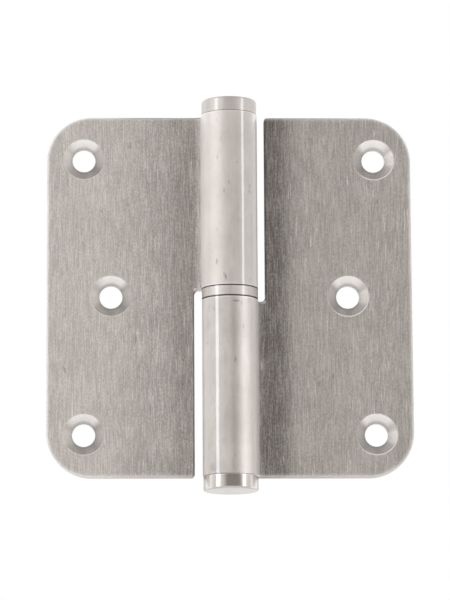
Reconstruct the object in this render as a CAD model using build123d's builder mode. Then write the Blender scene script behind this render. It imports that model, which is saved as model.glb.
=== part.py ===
from build123d import *
import os

# Lift-off butt hinge in stainless steel, opened flat. Millimetres.
# The origin is on the pin axis at mid-height. +Z runs up the pin, +X points to the frame leaf,
# and -Y is the side that shows the knuckles and the countersinks.

# Leaves
leaf_height = 89.0
leaf_reach = 44.5               # from the pin axis to a leaf's outer edge
leaf_thickness = 3.0
closed_gap = 3.0                # between the two front faces when the hinge is shut
outer_corner_radius = 11.0
free_corner_radius = 0.8        # at the end of the edge that faces the other knuckle
relief_clearance = 1.8          # from a knuckle to the edge of the other leaf beside it
relief_corner_radius = 1.2
edge_chamfer = 0.4              # round the whole outline of a leaf

# Knuckles, and the hollow blends that join them to their leaves
knuckle_diameter = 13.7
front_blend_radius = 1.6
back_blend_radius = 2.5
bore_chamfer = 0.3

# Ring between the knuckles
ring_height = 2.9
ring_chamfer = 0.15

# Screw holes: two near the outer edge and one nearer the knuckle, at mid-height
screw_hole_diameter = 5.6
countersink_diameter = 9.9
countersink_angle = 90
outer_hole_edge = 9.0           # from the leaf's outer edge to the two outer holes
outer_hole_spacing = 68.0
middle_hole_edge = 15.6

# Pin, and the bush that turns on it
pin_diameter = 7.8
pin_nose_length = 2.4
pin_nose_diameter = 4.6
pin_foot_chamfer = 0.5
pin_end_gap = 1.5               # from each end of the pin to the plug beyond it
bush_wall = 0.65
bush_recess = 0.3               # from the knuckle's face to the bush's lower end
bush_lead_in = 0.4
running_clearance = 0.05        # radial, between the pin and what turns on it

# Plugs that close the knuckles' outer ends
cap_diameter = 13.4
cap_height = 3.6
cap_edge_radius = 0.5
cap_seat_chamfer = 0.2
spigot_length = 5.0
spigot_chamfer = 0.4

# Places and radii worked out from the sizes above
half_height = leaf_height / 2
half_ring = ring_height / 2
knuckle_length = half_height - half_ring
knuckle_radius = knuckle_diameter / 2
leaf_front = closed_gap / 2
leaf_middle = leaf_front + leaf_thickness / 2
relief_edge = knuckle_radius + relief_clearance
pin_radius = pin_diameter / 2
running_radius = pin_radius + running_clearance
door_bore_radius = running_radius + bush_wall
pin_top = half_height - spigot_length - pin_end_gap
bush_bottom = half_ring + bush_recess
bush_top = pin_top + pin_end_gap / 2

os.makedirs("parts", exist_ok=True)


def leaf_with_knuckle(side, bore_radius):
    """A leaf and its knuckle in one piece.

    side is 1 for the right leaf, which has the lower knuckle, and -1 for the left leaf, which is the same
    form turned half a turn about Y. In the leaf's own planes X runs from the pin to the outer edge.
    """
    outwards = Axis((0, 0, 0), (side, 0, 0))
    to_free_end = Axis((0, 0, 0), (0, 0, side))
    knuckle_end = Plane(origin=(0, 0, -side * half_height), x_dir=(side, 0, 0), z_dir=(0, 0, side))
    pin_plane = Plane(origin=(0, 0, 0), x_dir=(side, 0, 0), z_dir=(0, -1, 0))

    with BuildPart() as leaf:
        # The section across the pin: a round knuckle and a flat strip, blended front and back
        with BuildSketch(knuckle_end) as section:
            Circle(knuckle_radius)
            with Locations((leaf_reach / 2, leaf_middle)):
                Rectangle(leaf_reach, leaf_thickness)
            for nearest, blend_radius in ((0, front_blend_radius), (-1, back_blend_radius)):
                junctions = section.vertices().filter_by_position(Axis.X, 0, knuckle_radius)
                fillet(junctions.sort_by(Axis.Y)[nearest], blend_radius)
        extrude(amount=leaf_height)

        # The relief that leaves room for the ring and the other leaf's knuckle
        with BuildSketch(pin_plane) as relief:
            with Locations((relief_edge, -half_ring)):
                Rectangle(relief_edge + knuckle_diameter, leaf_height, align=(Align.MAX, Align.MIN))
            fillet(relief.vertices().group_by(Axis.X)[-1].sort_by(Axis.Y)[0], relief_corner_radius)
        extrude(amount=knuckle_diameter, both=True, mode=Mode.SUBTRACT)

        free_end = leaf.edges().filter_by(Axis.Y).group_by(to_free_end)[-1]
        fillet(free_end.sort_by(outwards)[0], free_corner_radius)
        fillet(leaf.edges().filter_by(Axis.Y).group_by(outwards)[-1], outer_corner_radius)

        # The outline runs smoothly round the leaf and both ends of the knuckle, so a chamfer on the
        # front edge of the outer side follows all of it
        outer_side = leaf.edges().filter_by(Axis.Z).group_by(outwards)[-1]
        chamfer(outer_side.sort_by(Axis.Y)[0], edge_chamfer)

        # The knuckle's ends are faced flat and meet their neighbours in a hairline, so its round
        # bar is added again over the chamfer
        with BuildSketch(knuckle_end):
            Circle(knuckle_radius)
        extrude(amount=knuckle_length)

        Hole(bore_radius)
        chamfer(leaf.edges(Select.LAST).filter_by(GeomType.CIRCLE), bore_chamfer)

        with Locations(pin_plane.offset(-leaf_front)):
            outer_hole_x = leaf_reach - outer_hole_edge
            with Locations(
                (outer_hole_x, -outer_hole_spacing / 2),
                (outer_hole_x, outer_hole_spacing / 2),
                (leaf_reach - middle_hole_edge, 0),
            ):
                CounterSinkHole(
                    radius=screw_hole_diameter / 2,
                    counter_sink_radius=countersink_diameter / 2,
                    counter_sink_angle=countersink_angle,
                )
    return leaf


def end_cap(end, spigot_radius):
    """A turned plug with its spigot. end is 1 for the top of the hinge and -1 for the bottom."""
    outwards = Axis((0, 0, 0), (0, 0, end))
    seat = Plane(origin=(0, 0, end * half_height), z_dir=(0, 0, end))

    with BuildPart() as cap:
        with BuildSketch(seat):
            Circle(cap_diameter / 2)
        extrude(amount=cap_height)
        rims = cap.edges().filter_by(GeomType.CIRCLE).sort_by(outwards)
        fillet(rims[-1], cap_edge_radius)
        chamfer(rims[0], cap_seat_chamfer)

        with BuildSketch(seat):
            Circle(spigot_radius)
        extrude(amount=-spigot_length)
        chamfer(cap.edges().filter_by(GeomType.CIRCLE).sort_by(outwards)[0], spigot_chamfer)
    return cap


# Frame leaf, on the right, with the lower knuckle, which holds the pin
frame_leaf = leaf_with_knuckle(1, pin_radius)

# Door leaf, on the left, with the upper knuckle, which holds the bush
door_leaf = leaf_with_knuckle(-1, door_bore_radius)

# Ring that carries the door leaf on the lower knuckle
with BuildPart() as bearing_ring:
    with BuildSketch(Plane.XY.offset(-half_ring)):
        Circle(knuckle_radius)
        Circle(running_radius, mode=Mode.SUBTRACT)
    extrude(amount=ring_height)
    chamfer(bearing_ring.edges().filter_by(GeomType.CIRCLE), ring_chamfer)

# Pin, as long below mid-height as above it, with a tapered nose that finds the bush
with BuildPart() as hinge_pin:
    with BuildSketch(Plane.XY.offset(-pin_top)):
        Circle(pin_radius)
    extrude(amount=2 * pin_top)
    pin_ends = hinge_pin.edges().filter_by(GeomType.CIRCLE).sort_by(Axis.Z)
    chamfer(pin_ends[0], pin_foot_chamfer)
    chamfer(pin_ends[-1], (pin_diameter - pin_nose_diameter) / 2, pin_nose_length)

# Bush pressed into the upper knuckle, with a lead-in at its lower mouth
with BuildPart() as bearing_bush:
    with BuildSketch(Plane.XY.offset(bush_bottom)):
        Circle(door_bore_radius)
        Circle(running_radius, mode=Mode.SUBTRACT)
    extrude(amount=bush_top - bush_bottom)
    lower_mouth = bearing_bush.edges().filter_by(GeomType.CIRCLE).group_by(Axis.Z)[0]
    chamfer(lower_mouth.sort_by(SortBy.RADIUS)[0], bush_lead_in)

# Plugs in the outer ends of the two knuckles
top_cap = end_cap(1, door_bore_radius)
bottom_cap = end_cap(-1, pin_radius)

frame_leaf.part.label = "frame_leaf"
door_leaf.part.label = "door_leaf"
bearing_ring.part.label = "bearing_ring"
hinge_pin.part.label = "hinge_pin"
bearing_bush.part.label = "bearing_bush"
top_cap.part.label = "top_cap"
bottom_cap.part.label = "bottom_cap"

export_step(frame_leaf.part, "parts/frame_leaf.step")
export_step(door_leaf.part, "parts/door_leaf.step")
export_step(bearing_ring.part, "parts/bearing_ring.step")
export_step(hinge_pin.part, "parts/hinge_pin.step")
export_step(bearing_bush.part, "parts/bearing_bush.step")
export_step(top_cap.part, "parts/top_cap.step")
export_step(bottom_cap.part, "parts/bottom_cap.step")
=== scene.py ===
import math

import bpy
from mathutils import Matrix, Vector

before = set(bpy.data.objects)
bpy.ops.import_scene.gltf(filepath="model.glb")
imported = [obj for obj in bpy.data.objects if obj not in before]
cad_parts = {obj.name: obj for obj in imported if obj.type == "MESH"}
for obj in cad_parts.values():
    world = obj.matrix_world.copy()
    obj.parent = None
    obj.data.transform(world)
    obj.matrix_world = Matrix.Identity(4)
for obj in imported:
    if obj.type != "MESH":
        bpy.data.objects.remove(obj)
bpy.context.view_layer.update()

# Stainless lift-off hinge, opened flat. Metres, with the pin along Z and the countersinks facing -Y.
MM = 0.001
KNUCKLE_RADIUS = 6.85 * MM
HALF_RING = 1.45 * MM
LEAF_HALF_HEIGHT = 44.5 * MM
LEAF_REACH = 44.5 * MM
CORNER_RADIUS = 11.0 * MM
LEAF_BACK = 4.5 * MM
SLOT_EDGE = 8.65 * MM               # where a leaf begins beside the other knuckle
CAP_END = 48.1 * MM
COUNTERSINK_RADIUS = 4.95 * MM
SCREW_HOLE_RADIUS = 2.8 * MM
OUTER_SCREW_X = 35.5 * MM
OUTER_SCREW_Z = 34.0 * MM
MIDDLE_SCREW_X = 28.9 * MM
STRIP_START = 11.0 * MM             # how near the axis the painted shade beside the knuckle is full


# Colours: bright steel for scratches and painted highlights, pale steel for painted reflections and
# highlights, and a dark one for dirt, joints and painted shade

BRIGHT_STEEL = (0.95, 0.91, 0.88, 1.0)
PALE_STEEL = (0.99, 0.955, 0.925, 1.0)
GRIME_AND_SHADE = (0.03, 0.025, 0.02, 1.0)

# Each finish goes from its dark tone to its light one
DOOR_TONES = (0.52, 0.478, 0.443, 1.0), (0.80, 0.737, 0.685, 1.0)
# The frame leaf's tones are darker than the door leaf's: painted shade on the same steel
FRAME_TONES = (0.388, 0.352, 0.324, 1.0), (0.647, 0.594, 0.55, 1.0)
DOOR_KNUCKLE_TONES = (0.61, 0.56, 0.522, 1.0), (0.77, 0.715, 0.67, 1.0)
FRAME_KNUCKLE_TONES = (0.59, 0.54, 0.50, 1.0), (0.77, 0.715, 0.67, 1.0)
COUNTERSINK_TONES = (0.60, 0.565, 0.535, 1.0), (0.74, 0.695, 0.66, 1.0)
RING_TONES = (0.64, 0.59, 0.55, 1.0), (0.79, 0.735, 0.69, 1.0)
TOP_CAP_TONES = (0.58, 0.535, 0.50, 1.0), (0.72, 0.67, 0.63, 1.0)
BOTTOM_CAP_TONES = (0.50, 0.46, 0.43, 1.0), (0.62, 0.575, 0.54, 1.0)
PIN_TONES = (0.52, 0.505, 0.495, 1.0), (0.60, 0.585, 0.575, 1.0)
BUSH_TONES = (0.012, 0.012, 0.013, 1.0), (0.035, 0.035, 0.036, 1.0)

# The part of a tone's range over which a finish goes from dark to light
BRUSHED_RANGE = (0.38, 0.82)
SMOOTH_RANGE = (0.25, 0.75)

# Noises: waves in a metre, and the part of the range over which a mark goes from none to full
CLOUD_SCALE = 110.0
SMUDGE_SCALE = 480.0
FLECK_SCALE = 900.0
SPECK_SCALE = 4000.0
SCRATCH_RANGE = (0.74, 0.82)
SMUDGE_RANGE = (0.52, 0.72)
FLECK_RANGE = (0.69, 0.80)

# Textures of the surfaces
STREAK_WIDTH = 0.26 * MM
STREAK_LENGTH = 5.0 * MM
TURNING_PITCH = 0.12 * MM
BRUSHED_BUMP = 0.003 * MM
CONE_BUMP_SHARE = 0.15              # of the brushed bump
TURNED_BUMP = 0.001 * MM
BUSH_BUMP = 0.004 * MM
LEAF_ROUGHNESS = 0.56
LEAF_ROUGHNESS_SPREAD = 0.1
TURNED_ROUGHNESS_SPREAD = 0.06
FREE_SIDE_ROUGHNESS = 0.55
COUNTERSINK_ROUGHNESS = 0.26
BUSH_ROUGHNESS = (0.55, 0.7)        # of its darkest and lightest specks
BUSH_SPECULAR = 0.4
LEAF_ANISOTROPY = 0.9
FREE_SIDE_POLISH = 0.9
POLISH_ROUGHNESS = 0.06
POLISH_IOR = 1.9

# How strongly the marks of making and use, the painted shade and the painted highlights show, from 0 to 1
LEAF_SCRATCHES = (0.5, 0.9)         # on the belt's flat and on the strip beside the knuckle
LEAF_CLOUDS = 0.2
LEAF_FLECKS = 0.25
KNUCKLE_FLECKS = 0.3
KNUCKLE_SMUDGES = 0.08
TURNED_SMUDGES = 0.15
SLOT_WALL_SHADE = 0.7
PIN_SIDE_SHADE = 0.34
HOLE_SHADE = (0.12, 0.32)           # round the lower and the upper side of a screw hole
KNUCKLE_END_HIGHLIGHT = 0.5
CAP_FACE_HIGHLIGHT = 0.1

# How far from the pin's axis, across, the painted highlight on round pieces begins, and over what width
SIDE_HIGHLIGHT_START = 4.9 * MM
SIDE_HIGHLIGHT_RISE = 1.3 * MM
SIDE_HIGHLIGHT_FALL = 0.3 * MM

# The painted highlight along a leaf's edges: how far in from its outline it begins to show, and where it is
# full
EDGE_HIGHLIGHT_BAND = (1.4 * MM, -0.1 * MM)

# Smudges on the front of the knuckles: x, z, half width, half height and depth
KNUCKLE_MARKS = (
    (-1.2 * MM, 3.2 * MM, 0.35 * MM, 1.1 * MM, 1.1),
    (-1.6 * MM, 3.9 * MM, 0.25 * MM, 0.8 * MM, 0.8),
    (1.3 * MM, -2.7 * MM, 1.3 * MM, 0.35 * MM, 0.9),
    (-1.5 * MM, 24.5 * MM, 0.35 * MM, 0.9 * MM, 0.6),
    (1.0 * MM, -17.0 * MM, 0.35 * MM, 1.0 * MM, 0.7),
    (-4.6 * MM, -43.0 * MM, 0.9 * MM, 1.6 * MM, 0.5),
)


# Small helpers for node trees

FLOAT, VECTOR, COLOUR = "NodeSocketFloat", "NodeSocketVector", "NodeSocketColor"

# The places of a Mix node's factor, first value, second value and result, for what it mixes
MIX_PLACES = {"FLOAT": (0, 2, 3, 0), "VECTOR": (0, 4, 5, 1), "RGBA": (0, 6, 7, 2)}


def feed(tree, socket, value):
    """Sets an input to a value, or links it where the value is another node's socket."""
    if isinstance(value, bpy.types.NodeSocket):
        tree.links.new(value, socket)
    else:
        socket.default_value = value


def add_node(tree, kind, inputs=None, **settings):
    """A new node with its settings made and its inputs fed."""
    made = tree.nodes.new(kind)
    for name, value in settings.items():
        setattr(made, name, value)
    for name, value in (inputs or {}).items():
        feed(tree, made.inputs[name], value)
    return made


def calc(tree, operation, *values):
    """The output of a Math node on numbers or sockets."""
    return add_node(tree, "ShaderNodeMath", dict(enumerate(values)), operation=operation).outputs[0]


def product(tree, first, *others):
    """Numbers and sockets multiplied together."""
    result = first
    for value in others:
        result = calc(tree, "MULTIPLY", result, value)
    return result


def weighted_sum(tree, first, *others):
    """The sum of pairs of a socket and its weight."""
    result = product(tree, *first)
    for pair in others:
        result = calc(tree, "ADD", result, product(tree, *pair))
    return result


def vector_calc(tree, operation, *values):
    """The output of a Vector Math node."""
    made = add_node(tree, "ShaderNodeVectorMath", dict(enumerate(values)), operation=operation)
    return made.outputs["Value"] if operation in ("LENGTH", "DOT_PRODUCT") else made.outputs["Vector"]


def ramp(tree, value, low, high, out_low=0.0, out_high=1.0):
    """A smooth step of a value from one range into another."""
    inputs = {"Value": value, "From Min": low, "From Max": high, "To Min": out_low, "To Max": out_high}
    made = add_node(tree, "ShaderNodeMapRange", inputs, interpolation_type="SMOOTHSTEP")
    return made.outputs["Result"]


def split(tree, vector):
    """The X, Y and Z of a vector."""
    return add_node(tree, "ShaderNodeSeparateXYZ", {"Vector": vector}).outputs


def join(tree, x, y, z):
    """A vector from its X, Y and Z."""
    return add_node(tree, "ShaderNodeCombineXYZ", {"X": x, "Y": y, "Z": z}).outputs["Vector"]


def noise(tree, vector, scale, detail, roughness=0.5):
    """A noise in space, 0.5 on average, with about scale waves for each unit of the vector."""
    inputs = {"Vector": vector, "Scale": scale, "Detail": detail, "Roughness": roughness}
    return add_node(tree, "ShaderNodeTexNoise", inputs, noise_dimensions="3D").outputs["Fac"]


def blend(tree, kind, factor, first, second):
    """The result of a Mix node, which goes from first to second as factor goes from 0 to 1."""
    *input_places, result_place = MIX_PLACES[kind]
    inputs = dict(zip(input_places, (factor, first, second)))
    return add_node(tree, "ShaderNodeMix", inputs, data_type=kind, clamp_factor=True).outputs[result_place]


def blend_colour(tree, factor, first, second):
    """A colour between two."""
    return blend(tree, "RGBA", factor, first, second)


def blend_value(tree, factor, first, second):
    """A number between two."""
    return blend(tree, "FLOAT", factor, first, second)


def blend_vector(tree, factor, first, second):
    """A vector between two."""
    return blend(tree, "VECTOR", factor, first, second)


def new_group(name, inputs, outputs):
    """A node group with named sockets. Returns the group, its inputs and a function that sets an output."""
    group = bpy.data.node_groups.new(name, "ShaderNodeTree")
    for socket, kind in inputs:
        group.interface.new_socket(socket, in_out="INPUT", socket_type=kind)
    for socket, kind in outputs:
        group.interface.new_socket(socket, in_out="OUTPUT", socket_type=kind)
    entry = group.nodes.new("NodeGroupInput").outputs
    leaving = group.nodes.new("NodeGroupOutput").inputs
    return group, entry, lambda socket, value: group.links.new(value, leaving[socket])


def use_group(tree, group, inputs):
    """The outputs of a group placed in a tree with its own inputs."""
    return add_node(tree, "ShaderNodeGroup", inputs, node_tree=group).outputs


# Finishes that more than one piece shares, each built once as a group

def brushed_streaks():
    """Fine scratches left by a belt that ran along Z.

    Tone is the weighted sum of three noises, 0.5 on average: short grains, long streaks and broad bands,
    each stretched along Z. Scratch is 1 in a few long thin bright scratches. Height is the grains alone.
    """
    group, entry, give = new_group(
        "brushed_streaks",
        [("Vector", VECTOR), ("Width", FLOAT), ("Length", FLOAT)],
        [("Tone", FLOAT), ("Scratch", FLOAT), ("Height", FLOAT)],
    )
    place = split(group, entry["Vector"])
    across = calc(group, "DIVIDE", 1.0, entry["Width"])
    along = calc(group, "DIVIDE", 1.0, entry["Length"])
    stretched = join(
        group,
        product(group, place["X"], across),
        product(group, place["Y"], across),
        product(group, place["Z"], along),
    )

    def layer(waves_across, waves_along, detail):
        """A noise with so many waves for each width and length of a streak."""
        waves = (waves_across, waves_across, waves_along)
        return noise(group, vector_calc(group, "MULTIPLY", stretched, waves), scale=1.0, detail=detail)

    grains = layer(waves_across=1.0, waves_along=9.0, detail=1.0)
    streaks = layer(waves_across=1.0, waves_along=1.0, detail=1.0)
    bands = layer(waves_across=0.09, waves_along=0.3, detail=1.0)
    thin_scratches = layer(waves_across=1.1, waves_along=1.3, detail=0.0)
    give("Tone", weighted_sum(group, (grains, 0.46), (streaks, 0.48), (bands, 0.06)))
    give("Scratch", ramp(group, thin_scratches, *SCRATCH_RANGE))
    give("Height", grains)
    return group


def turned_lines():
    """Fine lines round Z from a lathe: noise that depends only on the radius and the height."""
    group, entry, give = new_group("turned_lines", [("Vector", VECTOR), ("Pitch", FLOAT)], [("Tone", FLOAT)])
    place = split(group, entry["Vector"])
    radius = vector_calc(group, "LENGTH", join(group, place["X"], place["Y"], 0.0))
    per_pitch = calc(group, "DIVIDE", 1.0, entry["Pitch"])
    flat = join(group, product(group, radius, per_pitch), 0.0, product(group, place["Z"], per_pitch))
    give("Tone", noise(group, flat, scale=1.0, detail=2.0))
    return group


def handling_marks():
    """Marks of use.

    Cloud varies broadly, Smudge is 1 in soft upright patches, and Fleck is 1 in a few small dull spots.
    """
    group, entry, give = new_group(
        "handling_marks",
        [("Vector", VECTOR)],
        [("Cloud", FLOAT), ("Smudge", FLOAT), ("Fleck", FLOAT)],
    )

    def upright(squeeze, scale, detail):
        """A noise drawn out along Z, where its place is multiplied by squeeze."""
        squeezed = vector_calc(group, "MULTIPLY", entry["Vector"], (1.0, 1.0, squeeze))
        return noise(group, squeezed, scale, detail)

    give("Cloud", noise(group, entry["Vector"], CLOUD_SCALE, detail=5.0, roughness=0.6))
    give("Smudge", ramp(group, upright(squeeze=0.35, scale=SMUDGE_SCALE, detail=3.0), *SMUDGE_RANGE))
    give("Fleck", ramp(group, upright(squeeze=0.4, scale=FLECK_SCALE, detail=1.5), *FLECK_RANGE))
    return group


def painted_side_highlight():
    """How much brighter a round piece is painted towards its left and right sides: a painted highlight.

    Start and Fade are measured across from the pin's axis. The painted highlight is Depth from a little
    beyond Start to a little before Fade, and nothing outside them.
    """
    group, entry, give = new_group(
        "painted_side_highlight",
        [("Vector", VECTOR), ("Start", FLOAT), ("Depth", FLOAT), ("Fade", FLOAT)],
        [("Side highlight", FLOAT)],
    )
    across = calc(group, "ABSOLUTE", split(group, entry["Vector"])["X"])
    full = calc(group, "ADD", entry["Start"], SIDE_HIGHLIGHT_RISE)
    rising = ramp(group, across, entry["Start"], full, 0.0, entry["Depth"])
    past_fade = calc(group, "SUBTRACT", across, entry["Fade"])
    give("Side highlight", product(group, rising, ramp(group, past_fade, 0.0, -SIDE_HIGHLIGHT_FALL)))
    return group


def joint_line():
    """The line round a turned piece where it meets its neighbour at Height.

    It is Depth strong up to half of Width from there, and gone at Width. It shows on the outside only.
    """
    group, entry, give = new_group(
        "joint_line",
        [("Vector", VECTOR), ("Height", FLOAT), ("Width", FLOAT), ("Depth", FLOAT)],
        [("Line", FLOAT)],
    )
    x, y, z = split(group, entry["Vector"])
    away = calc(group, "ABSOLUTE", calc(group, "SUBTRACT", z, entry["Height"]))
    line = ramp(group, away, entry["Width"], product(group, entry["Width"], 0.5), 0.0, entry["Depth"])
    radius = vector_calc(group, "LENGTH", join(group, x, y, 0.0))
    outside = ramp(group, radius, KNUCKLE_RADIUS - 0.7 * MM, KNUCKLE_RADIUS - 0.35 * MM)
    give("Line", product(group, line, outside))
    return group


def leaf_edges():
    """Painted highlights along a leaf's edges, and the slot wall for painted shade. Side is 1 for the right
    leaf and -1 for the left one.

    Edge highlight is high along the outline, and across the end of the slot beside the other knuckle: a
    painted highlight of rounded edges. The distance inside the outline is a rectangle's, with round corners.
    Slot wall is 1 on the long wall of the slot.
    """
    group, entry, give = new_group(
        "leaf_edges",
        [("Vector", VECTOR), ("Side", FLOAT), ("Tone", FLOAT)],
        [("Edge highlight", FLOAT), ("Slot wall", FLOAT)],
    )
    place = split(group, entry["Vector"])
    from_axis = calc(group, "ABSOLUTE", place["X"])
    past_x = calc(group, "SUBTRACT", from_axis, LEAF_REACH - CORNER_RADIUS)
    past_z = calc(group, "SUBTRACT", calc(group, "ABSOLUTE", place["Z"]), LEAF_HALF_HEIGHT - CORNER_RADIUS)
    into_corner = join(group, calc(group, "MAXIMUM", past_x, 0.0), 0.0, calc(group, "MAXIMUM", past_z, 0.0))
    straight_part = calc(group, "MINIMUM", calc(group, "MAXIMUM", past_x, past_z), 0.0)
    outwards = calc(group, "ADD", vector_calc(group, "LENGTH", into_corner), straight_part)
    inside = calc(group, "SUBTRACT", CORNER_RADIUS, outwards)

    near_outline = ramp(group, inside, *EDGE_HIGHLIGHT_BAND)
    patchy = ramp(group, entry["Tone"], 0.35, 0.85, 0.6, 0.95)
    past_the_very_edge = ramp(group, inside, 0.0, 0.12 * MM, 0.4, 1.0)
    outline = product(group, near_outline, near_outline, patchy, past_the_very_edge)
    from_slot_end = calc(group, "ADD", place["Z"], product(group, entry["Side"], HALF_RING))
    slot_end = product(
        group,
        ramp(group, calc(group, "ABSOLUTE", from_slot_end), 0.5 * MM, 0.3 * MM),
        ramp(group, from_axis, SLOT_EDGE + 0.5 * MM, SLOT_EDGE - 0.3 * MM),
    )
    give("Edge highlight", calc(group, "MAXIMUM", outline, slot_end))

    beside_other_knuckle = ramp(group, product(group, place["Z"], entry["Side"]), 0.0, 0.5 * MM)
    wall = ramp(group, from_axis, SLOT_EDGE + 0.06 * MM, SLOT_EDGE + 0.01 * MM)
    give("Slot wall", product(group, wall, beside_other_knuckle))
    return group


def countersinks():
    """The cones round the screws, and painted highlights on the rims round those. Offset is the vector from
    the screw.

    A cone is lightest on its upper side, a painted reflection, and darker below, towards the pin and a little
    down at the hole, painted shade. Rim is a painted highlight, strongest below, where it is Rim depth, and
    weak towards the pin.
    Inside, upwards is 1 straight above the screw and -1 below it, and towards_pin goes the same way.
    """
    group, entry, give = new_group(
        "countersinks",
        [("Offset", VECTOR), ("Side", FLOAT), ("Rim depth", FLOAT)],
        [("Colour", COLOUR), ("Rim", FLOAT)],
    )
    distance = vector_calc(group, "LENGTH", entry["Offset"])
    from_screw = split(group, entry["Offset"])
    upwards = calc(group, "DIVIDE", from_screw["Z"], distance)
    outwards = product(group, from_screw["X"], entry["Side"])
    towards_pin = calc(group, "DIVIDE", product(group, outwards, -1.0), distance)

    # Painted light: the cone lighter on its upper side and darker below
    colour = blend_colour(group, ramp(group, upwards, -0.75, 0.1), *COUNTERSINK_TONES)
    # Painted shade towards the pin
    colour = blend_colour(group, ramp(group, towards_pin, 0.3, 0.85, 0.0, PIN_SIDE_SHADE), colour, GRIME_AND_SHADE)
    # Painted reflection: paler on the cone's upper side
    upper = ramp(group, upwards, 0.48, 0.84)
    colour = blend_colour(group, upper, colour, PALE_STEEL)
    # Painted shade down at the hole
    at_hole = ramp(group, distance, SCREW_HOLE_RADIUS + 0.85 * MM, SCREW_HOLE_RADIUS + 0.25 * MM)
    shade = product(group, at_hole, blend_value(group, upper, *HOLE_SHADE))
    give("Colour", blend_colour(group, shade, colour, GRIME_AND_SHADE))

    # Painted highlight on the rim round the cone
    rim = ramp(group, distance, COUNTERSINK_RADIUS + 0.36 * MM, COUNTERSINK_RADIUS + 0.12 * MM)
    below = ramp(group, upwards, 0.3, -0.4, 0.2, entry["Rim depth"])
    give("Rim", product(group, rim, below, ramp(group, towards_pin, 0.3, 0.9, 1.0, 0.25)))
    return group


def brushed_finish():
    """The flat of a leaf: streaked, scratched and flecked, and darker where Strip is 1, a painted shade of
    the knuckle.
    """
    group, entry, give = new_group(
        "brushed_finish",
        [
            ("Dark", COLOUR),
            ("Light", COLOUR),
            ("Tone", FLOAT),
            ("Scratch", FLOAT),
            ("Fleck", FLOAT),
            ("Strip", FLOAT),
            ("Strip depth", FLOAT),
        ],
        [("Colour", COLOUR)],
    )
    tone = entry["Tone"]
    colour = blend_colour(group, ramp(group, tone, *BRUSHED_RANGE), entry["Dark"], entry["Light"])
    scratched = blend_value(group, entry["Strip"], *LEAF_SCRATCHES)
    colour = blend_colour(group, product(group, entry["Scratch"], scratched), colour, BRIGHT_STEEL)
    colour = blend_colour(group, product(group, entry["Fleck"], LEAF_FLECKS), colour, GRIME_AND_SHADE)
    # Darker in the strip beside the knuckle: painted shade of the knuckle
    least_strip_shade = product(group, entry["Strip depth"], 0.55)
    most_strip_shade = product(group, entry["Strip depth"], 1.35)
    dull = product(group, entry["Strip"], ramp(group, tone, 0.80, 0.45, least_strip_shade, most_strip_shade))
    give("Colour", blend_colour(group, dull, colour, GRIME_AND_SHADE))
    return group


def knuckle_finish():
    """A knuckle, smoother than its leaf, with soft smudges in front, and crisp painted highlights on its ends
    and painted highlights on its sides.
    """
    group, entry, give = new_group(
        "knuckle_finish",
        [
            ("Vector", VECTOR),
            ("Dark", COLOUR),
            ("Light", COLOUR),
            ("Streaks", FLOAT),
            ("Cloud", FLOAT),
            ("Smudge", FLOAT),
            ("Fleck", FLOAT),
            ("Side highlight", FLOAT),
        ],
        [("Colour", COLOUR)],
    )
    x, y, z = split(group, entry["Vector"])
    tone = weighted_sum(group, (entry["Streaks"], 0.35), (entry["Cloud"], 0.65))
    colour = blend_colour(group, ramp(group, tone, *SMOOTH_RANGE), entry["Dark"], entry["Light"])
    colour = blend_colour(group, product(group, entry["Smudge"], KNUCKLE_SMUDGES), colour, GRIME_AND_SHADE)
    colour = blend_colour(group, product(group, entry["Fleck"], KNUCKLE_FLECKS), colour, GRIME_AND_SHADE)
    in_front = ramp(group, y, 0.0, -2.0 * MM)
    for centre_x, centre_z, half_width, half_height, depth in KNUCKLE_MARKS:
        offset = join(
            group,
            calc(group, "DIVIDE", calc(group, "SUBTRACT", x, centre_x), half_width),
            0.0,
            calc(group, "DIVIDE", calc(group, "SUBTRACT", z, centre_z), half_height),
        )
        mark = ramp(group, vector_calc(group, "LENGTH", offset), 1.0, 0.2, 0.0, depth)
        colour = blend_colour(group, product(group, mark, in_front, entry["Cloud"]), colour, GRIME_AND_SHADE)
    # Painted highlights on the knuckle's left and right sides
    colour = blend_colour(group, entry["Side highlight"], colour, BRIGHT_STEEL)
    # Painted highlights on the knuckle's ends, by the ring and by the top cap
    near_ring = ramp(group, calc(group, "ABSOLUTE", z), HALF_RING + 0.4 * MM, HALF_RING + 0.1 * MM)
    near_top_cap = ramp(group, z, LEAF_HALF_HEIGHT - 0.4 * MM, LEAF_HALF_HEIGHT - 0.1 * MM)
    ends = product(group, calc(group, "MAXIMUM", near_ring, near_top_cap), KNUCKLE_END_HIGHLIGHT)
    give("Colour", blend_colour(group, ends, colour, BRIGHT_STEEL))
    return group


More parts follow.
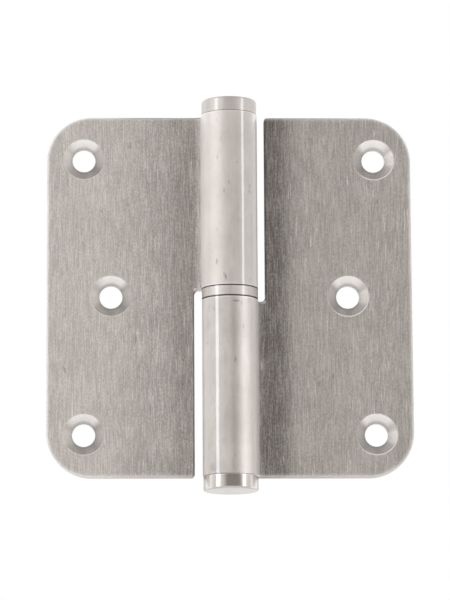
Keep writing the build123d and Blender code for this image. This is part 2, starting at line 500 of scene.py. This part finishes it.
def turned_finish():
    """A turned piece, with soft smudges, and painted highlights on its sides and, slightly, on its flat end.
    """
    group, entry, give = new_group(
        "turned_finish",
        [
            ("Vector", VECTOR),
            ("Dark", COLOUR),
            ("Light", COLOUR),
            ("Lines", FLOAT),
            ("Cloud", FLOAT),
            ("Smudge", FLOAT),
            ("Side highlight", FLOAT),
        ],
        [("Colour", COLOUR)],
    )
    height = calc(group, "ABSOLUTE", split(group, entry["Vector"])["Z"])
    tone = weighted_sum(group, (entry["Lines"], 0.4), (entry["Cloud"], 0.6))
    colour = blend_colour(group, ramp(group, tone, *SMOOTH_RANGE), entry["Dark"], entry["Light"])
    colour = blend_colour(group, product(group, entry["Smudge"], TURNED_SMUDGES), colour, GRIME_AND_SHADE)
    # A slightly brighter flat end: painted highlight
    flat_end = ramp(group, height, CAP_END - 0.3 * MM, CAP_END - 0.1 * MM)
    colour = blend_colour(group, product(group, flat_end, CAP_FACE_HIGHLIGHT), colour, BRIGHT_STEEL)
    # Painted highlights on the piece's left and right sides
    sides = product(group, entry["Side highlight"], calc(group, "SUBTRACT", 1.0, flat_end))
    give("Colour", blend_colour(group, sides, colour, BRIGHT_STEEL))
    return group


STREAKS = brushed_streaks()
LINES = turned_lines()
MARKS = handling_marks()
PAINTED_SIDE_HIGHLIGHT = painted_side_highlight()
JOINT_LINE = joint_line()
LEAF_EDGES = leaf_edges()
COUNTERSINKS = countersinks()
BRUSHED_FINISH = brushed_finish()
KNUCKLE_FINISH = knuckle_finish()
TURNED_FINISH = turned_finish()


# Materials

def start_material(name, metallic):
    """An empty material with a Principled shader and the piece's own coordinates."""
    material = bpy.data.materials.new(name)
    material.use_nodes = True
    tree = material.node_tree
    tree.nodes.clear()
    shader = tree.nodes.new("ShaderNodeBsdfPrincipled")
    shader.inputs["Metallic"].default_value = metallic
    output = tree.nodes.new("ShaderNodeOutputMaterial")
    tree.links.new(shader.outputs["BSDF"], output.inputs["Surface"])
    place = tree.nodes.new("ShaderNodeTexCoord").outputs["Object"]
    return material, tree, shader, place


def drawn_round_pin(tree, shader, amount, quarter_turns):
    """Stretches the shader's highlights round the pin, or along it after a quarter turn."""
    tangent = add_node(tree, "ShaderNodeTangent", direction_type="RADIAL", axis="Z").outputs["Tangent"]
    tree.links.new(tangent, shader.inputs["Tangent"])
    shader.inputs["Anisotropic"].default_value = amount
    shader.inputs["Anisotropic Rotation"].default_value = quarter_turns / 4
    return tangent


def add_polish(tree, shader, weight):
    """A thin bright layer over the first finish, for metal that was polished after it was cut."""
    feed(tree, shader.inputs["Coat Weight"], weight)
    shader.inputs["Coat Roughness"].default_value = POLISH_ROUGHNESS
    shader.inputs["Coat IOR"].default_value = POLISH_IOR


def set_bump(tree, shader, height, distance):
    """Relief whose height from 0 to 1 stands for a distance in metres."""
    bump = add_node(tree, "ShaderNodeBump", {"Height": height, "Strength": 1.0, "Distance": distance})
    tree.links.new(bump.outputs["Normal"], shader.inputs["Normal"])


def screw_offset(tree, place, side):
    """The vector, across the screws, from the axis of the nearest one."""
    x, _, z = split(tree, place)
    beyond = calc(tree, "SUBTRACT", calc(tree, "ABSOLUTE", z), OUTER_SCREW_Z)
    outer = join(
        tree,
        calc(tree, "SUBTRACT", x, side * OUTER_SCREW_X),
        0.0,
        product(tree, beyond, calc(tree, "SIGN", z)),
    )
    middle = join(tree, calc(tree, "SUBTRACT", x, side * MIDDLE_SCREW_X), 0.0, z)
    near_middle = calc(tree, "LESS_THAN", calc(tree, "ABSOLUTE", z), OUTER_SCREW_Z / 2)
    return blend_vector(tree, near_middle, outer, middle)


def straight_from_screw(tree, offset):
    """The direction straight away from a screw, in the world, for highlights that cross its cone."""
    return add_node(
        tree,
        "ShaderNodeVectorTransform",
        {"Vector": vector_calc(tree, "NORMALIZE", offset)},
        vector_type="VECTOR",
        convert_from="OBJECT",
        convert_to="WORLD",
    ).outputs["Vector"]


def leaf_steel(
    name,
    side,
    tones,
    strip_edge,
    strip_depth,
    rim_depth,
    knuckle_tones,
    knuckle_roughness,
    knuckle_shine,
):
    """A leaf: brushed along the pin, with a smoother knuckle that is polished on its free side.

    The strip beside the knuckle is darker out to strip_edge, a distance from the pin's axis: painted shade of
    the knuckle. The countersinks are turned smooth round their screws. The last argument is how bright the
    painted highlights on the knuckle's sides are: first the side that joins the leaf, then the free one.
    """
    material, tree, shader, place = start_material(name, metallic=1.0)
    round_pin = drawn_round_pin(tree, shader, LEAF_ANISOTROPY, quarter_turns=0)
    x, y, z = split(tree, place)
    axis_distance = vector_calc(tree, "LENGTH", join(tree, x, y, 0.0))
    knuckle = ramp(tree, axis_distance, KNUCKLE_RADIUS + 0.4 * MM, KNUCKLE_RADIUS + 0.05 * MM)
    free_side = ramp(tree, product(tree, calc(tree, "SIGN", z), x), -1.0 * MM, 2.0 * MM)
    in_front = ramp(tree, y, LEAF_BACK - 0.2 * MM, LEAF_BACK - 0.6 * MM)
    # The strip beside the knuckle, where the painted shade goes
    strip = product(tree, ramp(tree, axis_distance, strip_edge, STRIP_START), in_front)
    offset = screw_offset(tree, place, side)
    screw_distance = vector_calc(tree, "LENGTH", offset)
    cone = ramp(tree, screw_distance, COUNTERSINK_RADIUS + 0.03 * MM, COUNTERSINK_RADIUS - 0.05 * MM)
    cone = product(tree, cone, in_front)
    drawn = blend_vector(tree, cone, round_pin, straight_from_screw(tree, offset))
    tree.links.new(drawn, shader.inputs["Tangent"])

    # Colour: the flat, the painted highlights on its edges and rims, and then the knuckle and the cones over
    # them
    streaks = use_group(tree, STREAKS, {"Vector": place, "Width": STREAK_WIDTH, "Length": STREAK_LENGTH})
    marks = use_group(tree, MARKS, {"Vector": place})
    tone = calc(tree, "ADD", streaks["Tone"], product(tree, marks["Cloud"], LEAF_CLOUDS))
    flat = use_group(
        tree,
        BRUSHED_FINISH,
        {
            "Dark": tones[0],
            "Light": tones[1],
            "Tone": tone,
            "Scratch": streaks["Scratch"],
            "Fleck": marks["Fleck"],
            "Strip": strip,
            "Strip depth": strip_depth,
        },
    )
    edges = use_group(tree, LEAF_EDGES, {"Vector": place, "Side": side, "Tone": tone})
    screws = use_group(tree, COUNTERSINKS, {"Offset": offset, "Side": side, "Rim depth": rim_depth})
    # Painted highlights along the leaf's outline and across the end of its slot
    colour = blend_colour(tree, edges["Edge highlight"], flat["Colour"], BRIGHT_STEEL)
    # Painted shade on the slot's long wall
    colour = blend_colour(tree, product(tree, edges["Slot wall"], SLOT_WALL_SHADE), colour, GRIME_AND_SHADE)
    # Painted highlight on the countersinks' rims
    colour = blend_colour(tree, product(tree, screws["Rim"], in_front), colour, BRIGHT_STEEL)
    # Painted highlights on the knuckle's left and right sides
    bright_sides = use_group(
        tree,
        PAINTED_SIDE_HIGHLIGHT,
        {
            "Vector": place,
            "Start": SIDE_HIGHLIGHT_START,
            "Depth": blend_value(tree, free_side, *knuckle_shine),
            "Fade": blend_value(tree, free_side, KNUCKLE_RADIUS + 0.1 * MM, KNUCKLE_RADIUS - 0.25 * MM),
        },
    )
    round_bar = use_group(
        tree,
        KNUCKLE_FINISH,
        {
            "Vector": place,
            "Dark": knuckle_tones[0],
            "Light": knuckle_tones[1],
            "Streaks": streaks["Tone"],
            "Cloud": marks["Cloud"],
            "Smudge": marks["Smudge"],
            "Fleck": marks["Fleck"],
            "Side highlight": bright_sides["Side highlight"],
        },
    )
    colour = blend_colour(tree, knuckle, colour, round_bar["Colour"])
    colour = blend_colour(tree, cone, colour, screws["Colour"])
    tree.links.new(colour, shader.inputs["Base Color"])

    # Roughness, polish and relief
    polished = product(tree, knuckle, free_side)
    rough = blend_value(tree, knuckle, LEAF_ROUGHNESS, knuckle_roughness)
    rough = blend_value(tree, polished, rough, FREE_SIDE_ROUGHNESS)
    uneven = product(tree, calc(tree, "SUBTRACT", streaks["Tone"], 0.5), LEAF_ROUGHNESS_SPREAD)
    rough = blend_value(tree, cone, calc(tree, "ADD", rough, uneven), COUNTERSINK_ROUGHNESS)
    tree.links.new(rough, shader.inputs["Roughness"])
    add_polish(tree, shader, product(tree, polished, FREE_SIDE_POLISH))
    from_screw = split(tree, offset)
    round_screw = join(tree, from_screw["X"], from_screw["Z"], y)
    cone_lines = use_group(tree, LINES, {"Vector": round_screw, "Pitch": TURNING_PITCH})
    cone_relief = product(tree, cone_lines["Tone"], CONE_BUMP_SHARE)
    relief = blend_value(tree, cone, streaks["Height"], cone_relief)
    set_bump(tree, shader, relief, BRUSHED_BUMP)
    return material


def turned_steel(name, tones, roughness, anisotropy, polish=0.0, shine=None, joints=()):
    """A turned piece.

    The painted highlights on its sides, if given, are the distance from the axis where they start, their
    depth, and the distance where they fade. joints gives the height, width, depth and colour of each joint
    with a neighbour.
    """
    material, tree, shader, place = start_material(name, metallic=1.0)
    drawn_round_pin(tree, shader, anisotropy, quarter_turns=1)
    add_polish(tree, shader, polish)
    lines = use_group(tree, LINES, {"Vector": place, "Pitch": TURNING_PITCH})
    marks = use_group(tree, MARKS, {"Vector": place})
    bright_sides = 0.0
    if shine:
        start, depth, fade = shine
        inputs = {"Vector": place, "Start": start, "Depth": depth, "Fade": fade}
        bright_sides = use_group(tree, PAINTED_SIDE_HIGHLIGHT, inputs)["Side highlight"]
    finish = use_group(
        tree,
        TURNED_FINISH,
        {
            "Vector": place,
            "Dark": tones[0],
            "Light": tones[1],
            "Lines": lines["Tone"],
            "Cloud": marks["Cloud"],
            "Smudge": marks["Smudge"],
            "Side highlight": bright_sides,
        },
    )
    colour = finish["Colour"]
    for height, width, depth, tint in joints:
        inputs = {"Vector": place, "Height": height, "Width": width, "Depth": depth}
        colour = blend_colour(tree, use_group(tree, JOINT_LINE, inputs)["Line"], colour, tint)
    tree.links.new(colour, shader.inputs["Base Color"])
    rough = calc(tree, "ADD", roughness, product(tree, marks["Cloud"], TURNED_ROUGHNESS_SPREAD))
    tree.links.new(rough, shader.inputs["Roughness"])
    set_bump(tree, shader, lines["Tone"], TURNED_BUMP)
    return material


def bearing_plastic():
    """The bush: dull dark plastic, faintly speckled."""
    material, tree, shader, place = start_material("bush_polymer", metallic=0.0)
    shader.inputs["Specular IOR Level"].default_value = BUSH_SPECULAR
    grains = noise(tree, place, SPECK_SCALE, detail=2.0)
    colour = blend_colour(tree, ramp(tree, grains, 0.4, 0.65), *BUSH_TONES)
    tree.links.new(colour, shader.inputs["Base Color"])
    tree.links.new(ramp(tree, grains, 0.3, 0.7, *BUSH_ROUGHNESS), shader.inputs["Roughness"])
    set_bump(tree, shader, grains, BUSH_BUMP)
    return material


def dress(name, material):
    """Gives a CAD node its material."""
    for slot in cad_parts[name].material_slots:
        slot.material = material


dress("door_leaf", leaf_steel(
    "door_leaf_steel",
    side=-1.0,
    tones=DOOR_TONES,
    strip_edge=34.0 * MM,
    strip_depth=0.22,
    rim_depth=0.3,
    knuckle_tones=DOOR_KNUCKLE_TONES,
    knuckle_roughness=0.44,
    knuckle_shine=(0.45, 0.8),
))
dress("frame_leaf", leaf_steel(
    "frame_leaf_steel",
    side=1.0,
    tones=FRAME_TONES,
    strip_edge=17.5 * MM,
    strip_depth=0.38,
    rim_depth=0.9,
    knuckle_tones=FRAME_KNUCKLE_TONES,
    knuckle_roughness=0.34,
    knuckle_shine=(1.0, 0.35),
))
dress("bearing_ring", turned_steel(
    "ring_steel",
    RING_TONES,
    roughness=0.62,
    anisotropy=0.3,
    polish=0.7,
    shine=(SIDE_HIGHLIGHT_START, 0.9, 6.95 * MM),
    joints=((-HALF_RING, 0.5 * MM, 0.95, GRIME_AND_SHADE), (HALF_RING, 0.42 * MM, 0.95, GRIME_AND_SHADE)),
))
dress("top_cap", turned_steel(
    "top_cap_steel",
    TOP_CAP_TONES,
    roughness=0.62,
    anisotropy=0.3,
    polish=0.7,
    shine=(SIDE_HIGHLIGHT_START, 0.4, 6.6 * MM),
    joints=((LEAF_HALF_HEIGHT, 0.22 * MM, 0.5, GRIME_AND_SHADE),),
))
dress("bottom_cap", turned_steel(
    "bottom_cap_steel",
    BOTTOM_CAP_TONES,
    roughness=0.19,
    anisotropy=0.3,
    shine=(4.0 * MM, 0.75, 6.3 * MM),
    # A pale line at the joint: painted highlight on the cap's upper edge
    joints=((-LEAF_HALF_HEIGHT, 0.4 * MM, 0.8, PALE_STEEL),),
))
dress("hinge_pin", turned_steel("pin_steel", PIN_TONES, roughness=0.14, anisotropy=0.6))
dress("bearing_bush", bearing_plastic())


# Studio: a pale floor, a white world behind, grey in front, and two upright soft boxes

FLOOR_Z = -0.072
FLOOR_SIZE = 3.0
FLOOR_COLOUR = (0.82, 0.82, 0.82, 1.0)


def build_floor():
    """A level pale sheet, seen only from above, so that the low camera looks through it."""
    mesh = bpy.data.meshes.new("studio_floor")
    half = FLOOR_SIZE / 2
    corners = [(-half, -half, FLOOR_Z), (half, -half, FLOOR_Z), (half, half, FLOOR_Z), (-half, half, FLOOR_Z)]
    mesh.from_pydata(corners, [], [(0, 1, 2, 3)])
    floor = bpy.data.objects.new("studio_floor", mesh)
    bpy.context.scene.collection.objects.link(floor)

    material = bpy.data.materials.new("studio_floor")
    material.use_nodes = True
    tree = material.node_tree
    tree.nodes.clear()
    pale = add_node(tree, "ShaderNodeBsdfDiffuse", {"Color": FLOOR_COLOUR}).outputs[0]
    clear = add_node(tree, "ShaderNodeBsdfTransparent").outputs[0]
    back = tree.nodes.new("ShaderNodeNewGeometry").outputs["Backfacing"]
    white = add_node(tree, "ShaderNodeEmission", {"Strength": 1.0}).outputs[0]
    mirrored = tree.nodes.new("ShaderNodeLightPath").outputs["Is Glossy Ray"]
    above = add_node(tree, "ShaderNodeMixShader", {0: mirrored, 1: pale, 2: white}).outputs[0]
    shown = add_node(tree, "ShaderNodeMixShader", {0: back, 1: above, 2: clear}).outputs[0]
    output = tree.nodes.new("ShaderNodeOutputMaterial")
    tree.links.new(shown, output.inputs["Surface"])
    mesh.materials.append(material)


FRONT_BEARING = math.radians(8.0)
FRONT_EDGE = math.radians(22.0)
SIDE_EDGE = math.radians(44.0)
FRONT_LEVEL = 0.31
SIDE_LEVEL = 1.05
OVERHEAD_LEVEL = 0.65
OVERHEAD_RISE = (0.35, 0.95)        # sine of the angle above level
WARM_FRONT = (1.052, 0.988, 0.938)
COOL_SIDES = (0.985, 1.0, 1.015)
WHITE = (1.0, 1.0, 1.0)


def build_world():
    """White to the eye. In reflections it is a tent, bright and slightly cool, darker overhead.

    Its opening, straight in front but for FRONT_BEARING, is grey and slightly warm. The change goes by the
    cosine of the level angle from the opening.
    """
    world = bpy.data.worlds.new("studio")
    bpy.context.scene.world = world
    world.use_nodes = True
    tree = world.node_tree
    tree.nodes.clear()
    x, y, z = split(tree, tree.nodes.new("ShaderNodeTexCoord").outputs["Generated"])
    level_part = vector_calc(tree, "LENGTH", join(tree, x, y, 0.0))
    opening = (math.sin(FRONT_BEARING), -math.cos(FRONT_BEARING), 0.0)
    facing = calc(tree, "DIVIDE", vector_calc(tree, "DOT_PRODUCT", join(tree, x, y, z), opening), level_part)
    to_side = ramp(tree, facing, math.cos(FRONT_EDGE), math.cos(SIDE_EDGE))
    overhead = ramp(tree, z, *OVERHEAD_RISE, 1.0, OVERHEAD_LEVEL)
    level = product(tree, blend_value(tree, to_side, FRONT_LEVEL, SIDE_LEVEL), overhead)
    tint = blend_vector(tree, to_side, WARM_FRONT, COOL_SIDES)
    lit = vector_calc(tree, "MULTIPLY", join(tree, level, level, level), tint)
    rays = tree.nodes.new("ShaderNodeLightPath").outputs
    seen = blend_vector(tree, rays["Is Camera Ray"], lit, WHITE)
    background = add_node(tree, "ShaderNodeBackground", {"Color": seen, "Strength": 1.0})
    output = tree.nodes.new("ShaderNodeOutputWorld")
    tree.links.new(background.outputs[0], output.inputs["Surface"])


SOFT_BOX_TINT = (0.95, 0.985, 1.015)
SOFT_BOX_DISTANCE = 0.42
SOFT_BOX_HEIGHT = 0.40
SOFT_BOX_ELEVATION = math.radians(10.0)


def soft_box(name, azimuth, width, radiance):
    """An upright rectangular lamp, at an angle in degrees from straight in front, aimed at the hinge.

    An area lamp of power P and area A gives a radiance of P / (pi A). The lamp's -Z points at the hinge
    and its Y is as near up as it can be.
    """
    lamp = bpy.data.lights.new(name, "AREA")
    lamp.shape = "RECTANGLE"
    lamp.size = width
    lamp.size_y = SOFT_BOX_HEIGHT
    lamp.energy = radiance * math.pi * width * SOFT_BOX_HEIGHT
    lamp.color = SOFT_BOX_TINT
    thing = bpy.data.objects.new(name, lamp)
    bpy.context.scene.collection.objects.link(thing)
    thing.visible_camera = False
    bearing = math.radians(azimuth)
    place = SOFT_BOX_DISTANCE * Vector((
        math.sin(bearing) * math.cos(SOFT_BOX_ELEVATION),
        -math.cos(bearing) * math.cos(SOFT_BOX_ELEVATION),
        math.sin(SOFT_BOX_ELEVATION),
    ))
    aim = (-place).to_track_quat("-Z", "Y")
    thing.matrix_world = Matrix.Translation(place) @ aim.to_matrix().to_4x4()


build_floor()
build_world()
soft_box("left_soft_box", azimuth=-56.0, width=0.100, radiance=3.5)
soft_box("right_soft_box", azimuth=55.0, width=0.070, radiance=3.3)


# Camera, a little below the hinge and looking up at it

CAMERA_AZIMUTH = math.radians(-1.8567)
CAMERA_ELEVATION = math.radians(-10.428)
CAMERA_ROLL = math.radians(-0.3223)
CAMERA_DISTANCE = 862.05 * MM
CAMERA_TARGET = (-1.1986 * MM, 0.0, -1.3124 * MM)
LENS = 212.9
SENSOR = 36.0


def build_camera():
    """A camera that looks at the target from the given angles, rolled about its line of sight."""
    data = bpy.data.cameras.new("camera")
    data.lens = LENS
    data.sensor_width = SENSOR
    data.clip_start = 10.0 * MM
    camera = bpy.data.objects.new("camera", data)
    bpy.context.scene.collection.objects.link(camera)
    back = Vector((
        math.sin(CAMERA_AZIMUTH) * math.cos(CAMERA_ELEVATION),
        -math.cos(CAMERA_AZIMUTH) * math.cos(CAMERA_ELEVATION),
        math.sin(CAMERA_ELEVATION),
    ))
    right = Vector((0.0, 0.0, 1.0)).cross(back).normalized()
    up = back.cross(right)
    tilted_right = right * math.cos(CAMERA_ROLL) + up * math.sin(CAMERA_ROLL)
    tilted_up = up * math.cos(CAMERA_ROLL) - right * math.sin(CAMERA_ROLL)
    turn = Matrix((tilted_right, tilted_up, back)).transposed().to_4x4()
    camera.matrix_world = Matrix.Translation(Vector(CAMERA_TARGET) + back * CAMERA_DISTANCE) @ turn
    bpy.context.scene.camera = camera


build_camera()
bpy.context.scene.view_settings.view_transform = "Standard"
